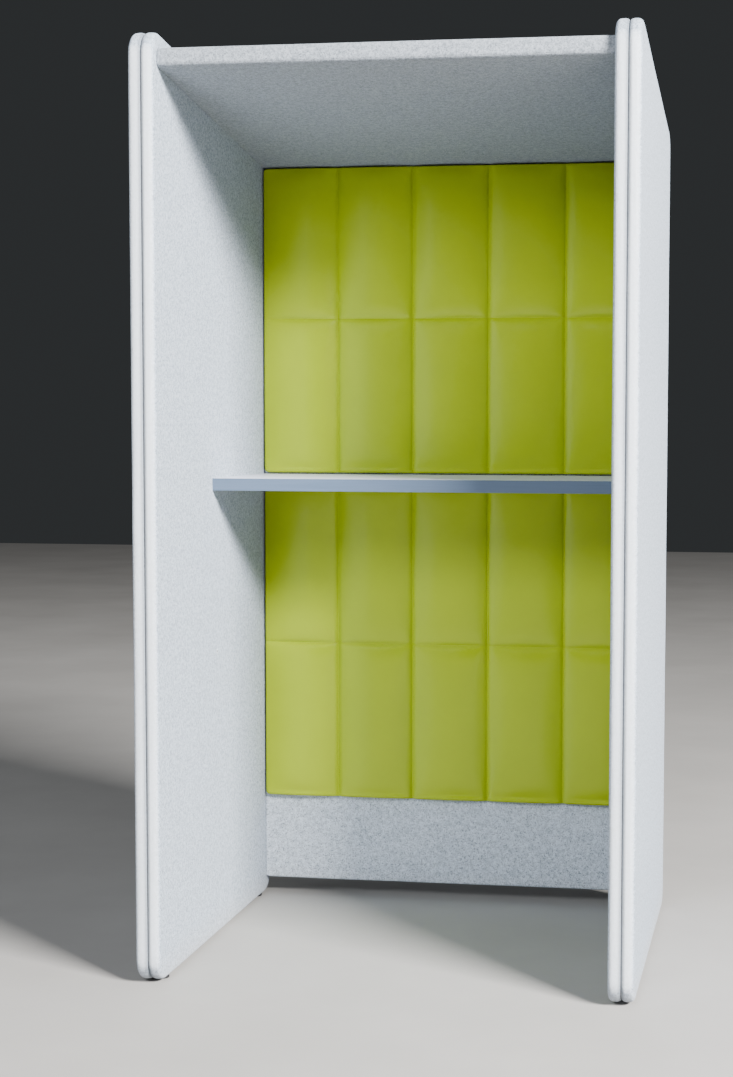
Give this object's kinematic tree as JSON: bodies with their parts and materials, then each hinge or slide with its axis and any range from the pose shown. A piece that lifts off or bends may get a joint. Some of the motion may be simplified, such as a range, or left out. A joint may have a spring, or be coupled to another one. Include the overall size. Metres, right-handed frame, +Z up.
{
  "type": "study carrel",
  "caption": "Standing-height study carrel with padded side panels, a sloping padded roof, a quilted padded back and a fixed desk shelf.",
  "frame": {"origin": "on the floor, under the middle of the carrel's outer box", "axes": "+X to the right seen from the open front, +Y from the open front to the back, +Z up"},
  "size_m": [1.044, 0.9, 1.9729],
  "materials": {
    "grey_cloth": "felted melange upholstery cloth over thin foam",
    "lime_vinyl": "lime-green upholstery vinyl, fine grain, soft sheen",
    "plywood": "bare board",
    "chipboard": "bare chipboard",
    "pale_laminate": "pale grey laminate, satin",
    "blue_grey_band": "blue-grey edge band, satin",
    "zinc_steel": "zinc plated",
    "white_nylon": "moulded nylon",
    "black_nylon": "moulded nylon on a steel stem"
  },
  "bodies": {
    "carrel": {"left_inner_board": "plywood", "left_inner_cover": "grey_cloth", "left_outer_board": "plywood", "left_outer_cover": "grey_cloth", "left_stud_front_bottom": "white_nylon", "left_stud_front_top": "white_nylon", "left_stud_rear_bottom": "white_nylon", "left_stud_rear_top": "white_nylon", "right_inner_board": "plywood", "right_inner_cover": "grey_cloth", "right_outer_board": "plywood", "right_outer_cover": "grey_cloth", "right_stud_front_bottom": "white_nylon", "right_stud_front_top": "white_nylon", "right_stud_rear_bottom": "white_nylon", "right_stud_rear_top": "white_nylon", "roof_board": "plywood", "roof_cover": "grey_cloth", "roof_bolt_left_front": "zinc_steel", "roof_bolt_left_rear": "zinc_steel", "roof_bolt_right_front": "zinc_steel", "roof_bolt_right_rear": "zinc_steel", "back_board": "plywood", "back_cover": "grey_cloth", "back_bolt_left_bottom": "zinc_steel", "back_bolt_left_top": "zinc_steel", "back_bolt_right_bottom": "zinc_steel", "back_bolt_right_top": "zinc_steel", "upper_pad_board": "plywood", "upper_pad": "lime_vinyl", "upper_clip_left_bottom": "white_nylon", "upper_clip_left_top": "white_nylon", "upper_clip_right_bottom": "white_nylon", "upper_clip_right_top": "white_nylon", "lower_pad_board": "plywood", "lower_pad": "lime_vinyl", "lower_clip_left_bottom": "white_nylon", "lower_clip_left_top": "white_nylon", "lower_clip_right_bottom": "white_nylon", "lower_clip_right_top": "white_nylon", "desk_core": "chipboard", "desk_top_laminate": "pale_laminate", "desk_under_laminate": "pale_laminate", "desk_edge_band": "blue_grey_band", "desk_bolt_left_front": "zinc_steel", "desk_bolt_left_rear": "zinc_steel", "desk_bolt_right_front": "zinc_steel", "desk_bolt_right_rear": "zinc_steel", "glide_insert_left_front": "zinc_steel", "glide_insert_left_rear": "zinc_steel", "glide_insert_right_front": "zinc_steel", "glide_insert_right_rear": "zinc_steel"},
    "glide_left_front_foot": {"glide_left_front": "black_nylon"},
    "glide_left_rear_foot": {"glide_left_rear": "black_nylon"},
    "glide_right_front_foot": {"glide_right_front": "black_nylon"},
    "glide_right_rear_foot": {"glide_right_rear": "black_nylon"}
  },
  "joints": [
    {"name": "glide_left_front_level", "type": "slide", "parent": "carrel", "child": "glide_left_front_foot", "axis": [0, 0, -1], "range_m": [0, 0.012]},
    {"name": "glide_left_rear_level", "type": "slide", "parent": "carrel", "child": "glide_left_rear_foot", "axis": [0, 0, -1], "range_m": [0, 0.012]},
    {"name": "glide_right_front_level", "type": "slide", "parent": "carrel", "child": "glide_right_front_foot", "axis": [0, 0, -1], "range_m": [0, 0.012]},
    {"name": "glide_right_rear_level", "type": "slide", "parent": "carrel", "child": "glide_right_rear_foot", "axis": [0, 0, -1], "range_m": [0, 0.012]}
  ]
}
